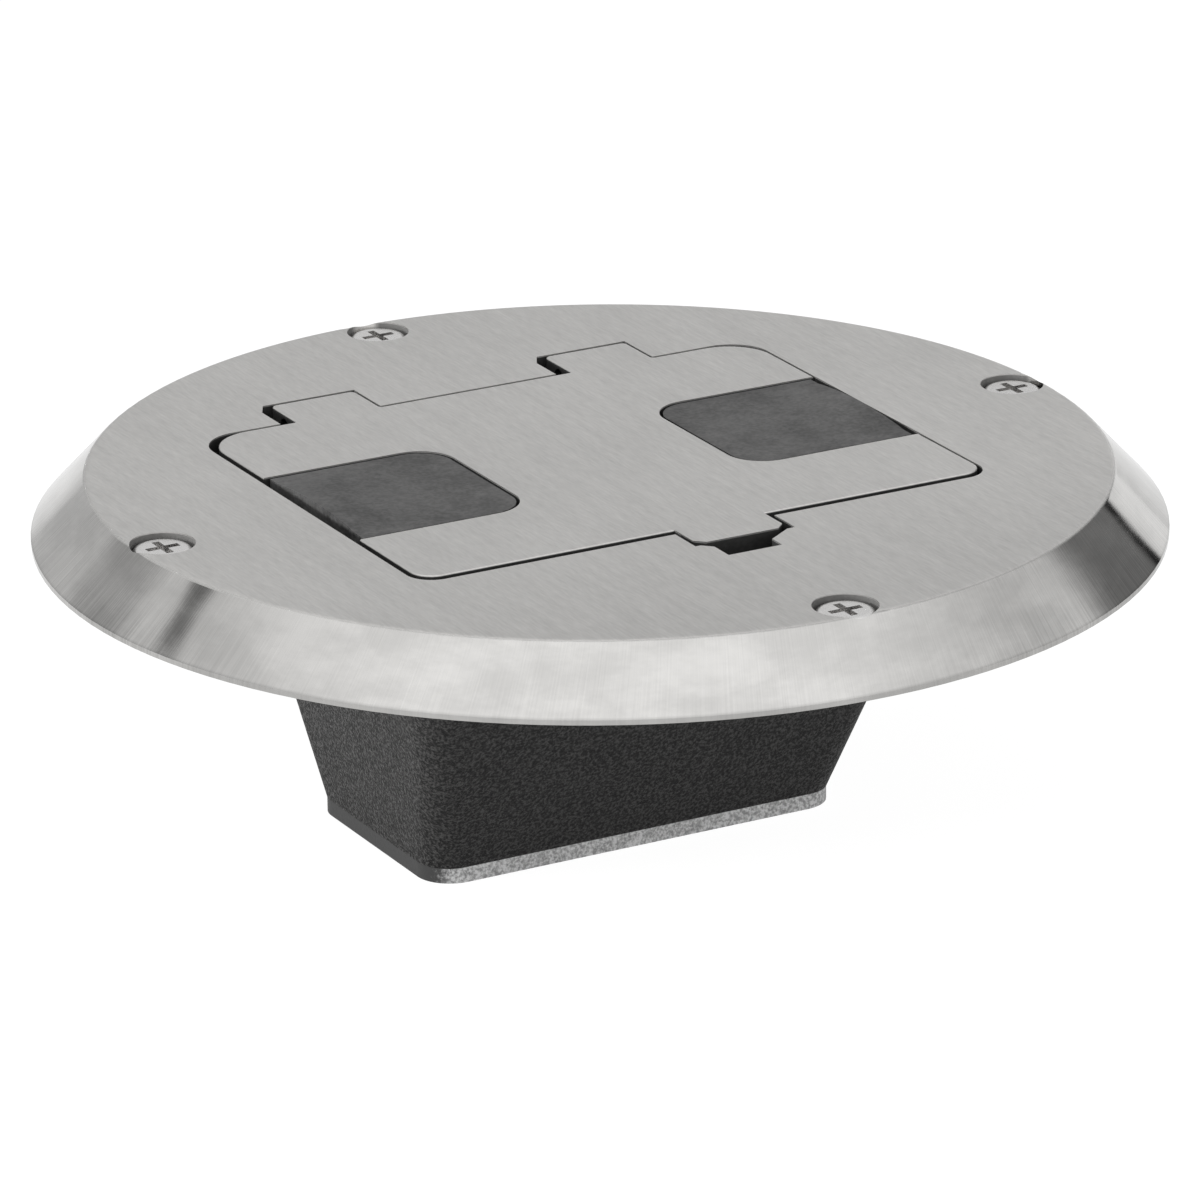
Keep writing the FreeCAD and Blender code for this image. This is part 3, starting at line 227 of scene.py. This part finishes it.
def polished_rim(finish, radius):
    """The cover's sloping rim, smeared and scuffed by slanted hairs: its tone, roughness and height."""
    turn = finish.y.maths("ARCTAN2", finish.y, finish.x)
    slanted = finish.node("CombineXYZ", inputs={0: turn * 330 + radius * 700, 1: radius * 70})
    hairs = finish.noise(1, 3, 0.6, slanted)
    smears = finish.noise(55, 4, 0.65, finish.turned((1, 1, 2.5), (0, 0, 20))).step(0.33, 0.67)
    sideways = (finish.x * math.cos(AZIMUTH) + finish.y * math.sin(AZIMUTH)).size()
    scuffed = 0.25 + sideways.step(SCUFFED_FROM, SCUFFED_TO) * 0.75
    # Painted shade: the rim's lowest edge is darkened, standing for the darker floor it mirrors.
    painted_edge_shade = finish.z.step(EDGE_SHADE_FROM, EDGE_SHADE_TO)
    tone = (0.53 + smears * 0.11 + (hairs - 0.5) * scuffed * 0.5) * (1 - painted_edge_shade * 0.25)
    rough = 0.03 + smears * 0.06 + hairs * 0.03
    waves = finish.noise(70, 1) * 8
    return tone, rough, waves + hairs * scuffed * 0.5


def satin_nickel(name, top, cover=False):
    """Nickel plate brushed on its upper faces, over dark cast walls that also stand in as painted shade
    in the gaps and recesses. A cover has a polished rim too.
    """
    finish = Finish(name)
    lines = brushed(finish)
    clouds = finish.noise(28, 4, 0.6)
    # Painted shade: the brushed top is darkened towards its front edge.
    painted_front_shade = finish.y.step(FRONT_SHADE_FROM, FRONT_SHADE_TO)
    tone = 0.435 + lines * 0.34 + clouds * 0.07 - painted_front_shade * 0.045
    rough = 0.33 + lines * 0.10 + clouds * 0.04
    height = lines
    # Below this band the walls are dark: partly unplated cast metal, partly painted shade in the gaps
    # between lid and cover.
    plated = finish.z.step(top - PLATING_STARTS, top - PLATING_FULL)
    if cover:
        radius = (finish.x ** 2 + finish.y ** 2) ** 0.5
        bevel = radius.step(FLAT_RADIUS - RIM_BLEND, FLAT_RADIUS + RIM_BLEND)
        rim_tone, rim_rough, rim_height = polished_rim(finish, radius)
        tone, rough = blend(tone, rim_tone, bevel), blend(rough, rim_rough, bevel)
        height = blend(lines, rim_height, bevel)
        # The counterbore walls are only partly plated, so they stay darker: partly painted shade in the
        # recesses.
        outer_ring = radius.step(THIN_PLATING_FROM, THIN_PLATING_TO)
        plated = plated.maths("MAXIMUM", plated, outer_ring * (0.22 + bevel * 0.78))
    cast_wall_and_gap_shade = finish.noise(1500, 3) * 0.03 + 0.01
    tone = blend(cast_wall_and_gap_shade, tone, plated)
    warm = finish.node("CombineColor", inputs={0: tone * 1.012, 1: tone, 2: tone * 0.978})
    finish.set(Base_Color=warm, Metallic=plated, Roughness=blend(0.6, rough, plated),
               Normal=finish.bump(height, 0.010 * MM, 0.5))
    return finish.material


def bright_nickel(name, tone, warmth=0.01, rough=0.2):
    """Smooth bare or plated metal, faintly clouded."""
    finish = Finish(name, Metallic=1.0)
    clouds = finish.noise(900, 3, 0.6)
    finish.set(Base_Color=finish.mix(clouds, grey(tone, warmth), grey(tone * 0.9, warmth)),
               Roughness=rough + clouds * 0.14,
               Normal=finish.bump(finish.noise(4000), 0.01 * MM, 0.4))
    return finish.material


def coloured_plate(name, light, dark, rough=0.3, metallic=1.0):
    """Plated or lacquered metal whose colour clouds over between two tones."""
    finish = Finish(name, Metallic=metallic)
    clouds = finish.noise(180, 4, 0.65)
    finish.set(Base_Color=finish.mix(clouds.step(0.3, 0.7), (*light, 1), (*dark, 1)),
               Roughness=rough + clouds * 0.15,
               Normal=finish.bump(finish.streaks(3000, 150), 0.01 * MM, 0.5))
    return finish.material


def charcoal_plastic(name, tone, grain, wear=2.3):
    """Matt moulded plastic with rubbed, slightly dusty clouds.

    Where it is most worn it is wear times as light as its tone.
    """
    finish = Finish(name)
    clouds = finish.noise(75, 5, 0.7)
    rubbed = finish.noise(420, 3, 0.65).step(0.35, 0.75)
    grained = finish.noise(grain, 2)
    worn = clouds.step(0.38, 0.62) * 0.45 + rubbed * 0.25 + grained.step(0.35, 0.65) * 0.3
    finish.set(Base_Color=finish.mix(worn, grey(tone, 0.01), grey(tone * wear, 0.01)),
               Roughness=0.44 + clouds * 0.2, Normal=finish.bump(grained, 0.02 * MM, 0.5))
    return finish.material


def cast_black(name):
    """Black paint over a sand cast wall: close dark grains, paler on their crowns."""
    finish = Finish(name, Specular_IOR_Level=0.3)
    grains = finish.noise(1900, 2, 0.7)
    crowns = grains.step(0.40, 0.66)
    finish.set(Base_Color=finish.mix(crowns, grey(0.003, 0.02), grey(0.046, 0.02)),
               Roughness=0.6 - crowns * 0.15,
               Normal=finish.bump(grains, 0.5 * MM, 1.0))
    return finish.material


def grained_steel(name):
    """The foot plate's grey, grained edge, darkened and made less metallic over its left end as painted
    shade.
    """
    finish = Finish(name)
    grains = finish.noise(1800, 3, 0.7)
    ragged = finish.x + grains * 3 * MM
    # Painted shade: the left end goes dark and loses its metal.
    painted_end_shade = ragged.step(END_SHADE_FROM, END_SHADE_TO)
    plain = finish.mix(grains.step(0.35, 0.65), grey(0.30), grey(0.72))
    finish.set(Base_Color=finish.mix(painted_end_shade, plain, grey(0.03)), Metallic=0.6 - painted_end_shade * 0.6,
               Roughness=0.45 + grains * 0.2, Normal=finish.bump(grains, 0.06 * MM, 0.5))
    return finish.material


def black_rubber(name):
    """Matt rubber with a little dust."""
    finish = Finish(name)
    dust = finish.noise(160, 4, 0.6)
    finish.set(Base_Color=finish.mix(dust.step(0.4, 0.8), grey(0.022), grey(0.05)),
               Roughness=0.6 + dust * 0.2, Normal=finish.bump(finish.noise(2200), 0.03 * MM, 0.5))
    return finish.material


FINISHES = {
    "cover_metal": satin_nickel("cover_nickel", COVER_TOP, cover=True),
    "lid_metal": satin_nickel("lid_nickel", LID_TOP),
    "cover_screw_steel": bright_nickel("screw_nickel", 0.86),
    "pin_steel": bright_nickel("ground_steel", 0.6, 0.0, 0.28),
    "flap_plastic": charcoal_plastic("charcoal_flap", 0.021, 1400, 4.6),
    "receptacle_plastic": charcoal_plastic("receptacle_black", 0.05, 2500),
    "receptacle_case": charcoal_plastic("case_black", 0.04, 2000),
    "housing_iron": cast_black("cast_black"),
    "base_steel": grained_steel("grained_steel"),
    "zinc_steel": coloured_plate("zinc_plate", (0.62, 0.64, 0.67), (0.50, 0.51, 0.52)),
    "plate_steel": coloured_plate("galvanised_sheet", (0.60, 0.62, 0.64), (0.45, 0.47, 0.49), 0.36),
    "strap_steel": coloured_plate("strap_zinc", (0.63, 0.62, 0.56), (0.52, 0.51, 0.46), 0.32),
    "contact_brass": coloured_plate("rolled_brass", (0.74, 0.54, 0.24), (0.60, 0.42, 0.18), 0.24),
    "brass_screw": coloured_plate("brass", (0.72, 0.53, 0.24), (0.55, 0.38, 0.16), 0.26),
    "green_screw": coloured_plate("green_finish", (0.05, 0.26, 0.08), (0.03, 0.17, 0.05), 0.35, 0.6),
    "gasket_rubber": black_rubber("gasket_rubber"),
    "seal_rubber": black_rubber("seal_rubber"),
}

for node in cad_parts.values():
    for slot in node.material_slots:
        slot.material = FINISHES[slot.material.name.split(".")[0]]


# ---------------------------------------------------------------- floor and light

FLOOR_HALF = 30
PLAIN_LIGHT = 0.55      # what rough surfaces get from the room


def lay_floor():
    """A pale floor that keeps the box's shadow.

    Its glow is seen and mirrored, but lights nothing rough.
    """
    corners = ((-FLOOR_HALF, -FLOOR_HALF), (FLOOR_HALF, -FLOOR_HALF),
               (FLOOR_HALF, FLOOR_HALF), (-FLOOR_HALF, FLOOR_HALF))
    mesh = bpy.data.meshes.new("floor")
    mesh.from_pydata([(x, y, FOOT) for x, y in corners], [], [(0, 1, 2, 3)])
    floor = bpy.data.objects.new("floor", mesh)
    bpy.context.collection.objects.link(floor)
    material = bpy.data.materials.new("pale_floor")
    tree = Tree(material)
    seen = tree.node("LightPath", output="Is Camera Ray")
    mirrored = tree.node("LightPath", output="Is Glossy Ray")
    lit = tree.node("BsdfDiffuse", inputs={"Color": grey(0.8)})
    glow = tree.node("Emission", inputs={"Color": grey(1.0), "Strength": 1.1})
    surface = tree.node("MixShader", inputs={0: seen * 0.88 + mirrored * 0.45, 1: lit, 2: glow})
    tree.feed(tree.nodes["Material Output"].inputs["Surface"], surface)
    mesh.materials.append(material)


def around(azimuth, elevation):
    """A direction in degrees, its azimuth from the camera's side towards the right."""
    return direction(math.radians(azimuth) + AZIMUTH, math.radians(elevation))


def light_world():
    """A soft, pale room with a few darker corners for the metal to show."""
    world = bpy.data.worlds.new("room")
    bpy.context.scene.world = world
    tree = Tree(world)
    ray = tree.node("TexCoord", output="Generated")

    def patch(azimuth, elevation, inner, outer):
        """1 within inner degrees of a direction, and 0 beyond outer."""
        facing = tree.node("VectorMath", {"operation": "DOT_PRODUCT"},
                           {0: ray, 1: around(azimuth, elevation)}, "Value")
        return facing.step(math.cos(math.radians(outer)), math.cos(math.radians(inner)))

    overhead = patch(0, 68, 14, 66)
    right_dusk = patch(138, 17, 7, 20)
    left_spot = patch(-112, 37, 2, 4.5)
    left_dusk = patch(-129, 25, 3, 12)
    back_left_dusk = patch(-156, 4, 12, 34)
    room = (0.72 + overhead * 0.46 - right_dusk * 0.52 - left_spot * 0.60
            - left_dusk * 0.28 - back_left_dusk * 0.13)
    dark_ring = patch(162, -1, 21, 23)
    bright_disc = patch(162, -1, 18, 19.5)
    mirrored = room * (1 - dark_ring * 0.88) + bright_disc * 0.85
    camera = tree.node("LightPath", output="Is Camera Ray")
    glossy = tree.node("LightPath", output="Is Glossy Ray")
    strength = blend(PLAIN_LIGHT, mirrored, glossy)
    tree.feed(tree.nodes["Background"].inputs["Color"], grey(1.0))
    tree.feed(tree.nodes["Background"].inputs["Strength"], blend(strength, 1, camera))


def hang_lamp(name, azimuth, elevation, distance, size, power):
    """A round lamp that shines at the cover's middle and isn't mirrored in the metal."""
    lamp = bpy.data.lights.new(name, "AREA")
    lamp.shape, lamp.size, lamp.energy = "DISK", size, power
    hung = bpy.data.objects.new(name, lamp)
    bpy.context.collection.objects.link(hung)
    towards = around(azimuth, elevation)
    hung.location = towards * distance
    hung.rotation_euler = towards.to_track_quat("Z", "Y").to_euler()
    hung.visible_glossy = False


lay_floor()
light_world()
hang_lamp("key_lamp", -35, 50, 1.6, 0.7, 9)
hang_lamp("front_lamp", 42, 12, 1.8, 0.8, 8)
hang_lamp("left_lamp", -72, 8, 1.6, 0.5, 30)


# ---------------------------------------------------------------- the end

bpy.context.view_layer.update()
